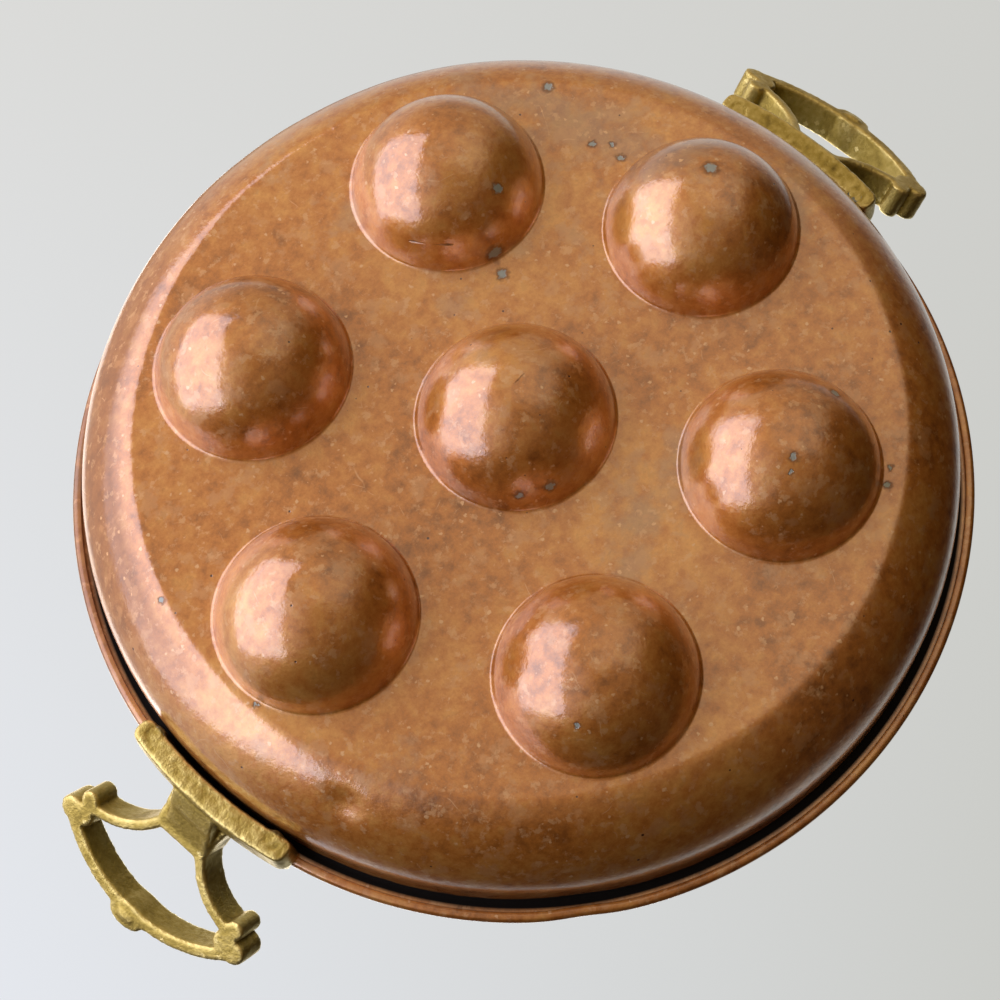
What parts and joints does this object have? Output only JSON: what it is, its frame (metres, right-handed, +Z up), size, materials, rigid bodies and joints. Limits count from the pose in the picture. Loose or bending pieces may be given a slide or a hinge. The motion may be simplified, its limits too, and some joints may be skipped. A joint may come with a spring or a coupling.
{
  "type": "escargot pan",
  "caption": "Round tin-lined copper escargot pan with rounded wells pressed in its floor, a turned-out hemmed lip and cast brass loop handles riveted under it.",
  "frame": {"origin": "on the plane that the well tips stand on, on the pan's upright axis and under the middle of the overall box", "axes": "+Z up, out of the mouth; +X towards one handle, -X towards the other; +Y across, to the back. The picture shows the pan's underside, seen from below (-Z)."},
  "size_m": [0.3146, 0.241, 0.0937],
  "materials": {
    "copper": "worn polished copper, browned with age and oven heat",
    "tin": "wiped tin, dull grey and softly reflective",
    "cast_brass": "as-cast yellow brass, olive tarnish in the hollows",
    "tinned_rivet": "tinned copper rivet, dull grey"
  },
  "bodies": {
    "root": {"pan_body": "copper", "tin_lining": "tin", "handle_right": "cast_brass", "handle_left": "cast_brass", "rivet_right_front": "tinned_rivet", "rivet_right_back": "tinned_rivet", "rivet_left_back": "tinned_rivet", "rivet_left_front": "tinned_rivet"}
  },
  "joints": []
}
